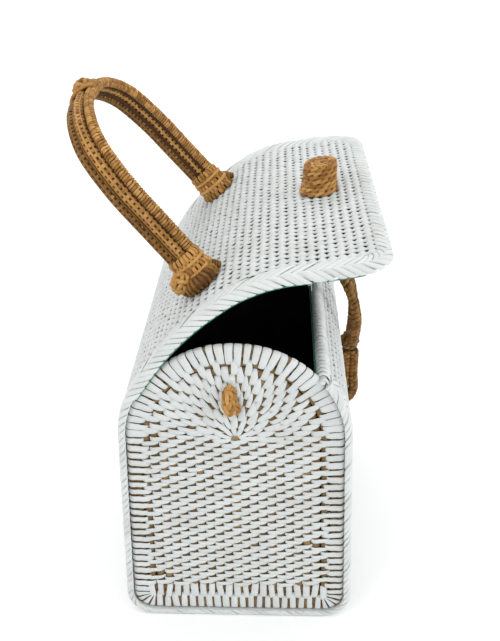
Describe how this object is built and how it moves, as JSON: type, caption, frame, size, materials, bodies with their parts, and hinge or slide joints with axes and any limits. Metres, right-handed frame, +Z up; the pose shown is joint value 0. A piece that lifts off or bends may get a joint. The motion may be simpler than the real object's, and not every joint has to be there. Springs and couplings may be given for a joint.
{
  "type": "woven rattan handbag",
  "caption": "Box handbag of whitewashed woven rattan with a rounded flap lid, a cane top handle, and a toggle and loop closure.",
  "frame": {"origin": "centre of the flat underside", "axes": "+X along the length, -Y towards the front with the toggle and loop, +Z up"},
  "size_m": [0.2366, 0.1875, 0.325],
  "materials": {
    "white_weave": "whitewashed flat rattan strips over natural brown rods, matte",
    "white_braid": "whitewashed plaited rattan, matte",
    "brown_cane": "oiled ata cane, satin",
    "cane_binding": "oiled ata cane wrap, satin",
    "lining": "black cotton cloth, matte"
  },
  "bodies": {
    "body": {"front_wall": "white_weave", "bottom_panel": "white_weave", "back_wall": "white_weave", "edge_braid_front_left": "white_braid", "edge_braid_front_right": "white_braid", "edge_braid_base_left": "white_braid", "edge_braid_base_right": "white_braid", "edge_braid_back_left": "white_braid", "edge_braid_back_right": "white_braid", "front_rim_rod": "white_braid", "end_panel_left": "white_weave", "end_panel_right": "white_weave", "end_rim_left": "white_weave", "end_rim_right": "white_weave", "end_knot_left": "brown_cane", "end_knot_right": "brown_cane", "lining_body": "lining", "lining_end_left": "lining", "lining_end_right": "lining", "loop_knot": "brown_cane", "loop_tail": "brown_cane"},
    "lid_1": {"lid_panel_1": "white_weave", "lid_braid_left_1": "white_braid", "lid_braid_right_1": "white_braid", "lid_lining_1": "lining"},
    "lid_2": {"lid_panel_2": "white_weave", "lid_braid_left_2": "white_braid", "lid_braid_right_2": "white_braid", "lid_lining_2": "lining", "handle_strand_rear": "brown_cane", "handle_strand_middle": "brown_cane", "handle_strand_front": "brown_cane", "handle_foot_left": "cane_binding", "handle_foot_right": "cane_binding", "handle_binding_left": "cane_binding", "handle_binding_right": "cane_binding", "handle_binding_crown": "cane_binding"},
    "lid_3": {"lid_panel_3": "white_weave", "lid_braid_left_3": "white_braid", "lid_braid_right_3": "white_braid", "lid_lining_3": "lining"},
    "lid_4": {"lid_panel_4": "white_weave", "lid_braid_left_4": "white_braid", "lid_braid_right_4": "white_braid", "lid_lining_4": "lining", "toggle_core": "brown_cane", "toggle_sleeve": "brown_cane", "toggle_cap": "brown_cane"},
    "lid_5": {"lid_panel_5": "white_weave", "lid_braid_left_5": "white_braid", "lid_braid_right_5": "white_braid", "lid_lining_5": "lining", "lip_braid": "white_braid"},
    "loop": {"closure_loop": "brown_cane"}
  },
  "joints": [
    {"name": "lid_hinge", "type": "hinge", "parent": "body", "child": "lid_1", "pos_m": [0, 0.05431, 0.18442], "axis": [1, 0, 0], "range_deg": [-50, 9.5]},
    {"name": "lid_flex", "type": "hinge", "parent": "lid_1", "child": "lid_2", "pos_m": [0, 0.0295, 0.2107], "axis": [1, 0, 0], "range_deg": [0, 23.5]},
    {"name": "lid_flex_crown", "type": "hinge", "parent": "lid_2", "child": "lid_3", "pos_m": [0, 0.00044, 0.23508], "axis": [1, 0, 0], "range_deg": [0, 7]},
    {"name": "lid_flex_front", "type": "hinge", "parent": "lid_3", "child": "lid_4", "pos_m": [0, -0.0311, 0.24719], "axis": [1, 0, 0], "range_deg": [0, 15]},
    {"name": "lid_flex_lip", "type": "hinge", "parent": "lid_4", "child": "lid_5", "pos_m": [0, -0.06271, 0.25219], "axis": [1, 0, 0], "range_deg": [0, 33.5]},
    {"name": "loop_swing", "type": "hinge", "parent": "body", "child": "loop", "pos_m": [0, -0.0755, 0.146], "axis": [1, 0, 0], "range_deg": [0, 145]}
  ],
  "couplings": [
    {"joint": "lid_flex_crown", "follows": "lid_flex", "ratio": 0.29787},
    {"joint": "lid_flex_front", "follows": "lid_flex", "ratio": 0.6383},
    {"joint": "lid_flex_lip", "follows": "lid_flex", "ratio": 1.4255},
    {"joint": "loop_swing", "follows": "lid_flex", "ratio": 6.1702}
  ]
}
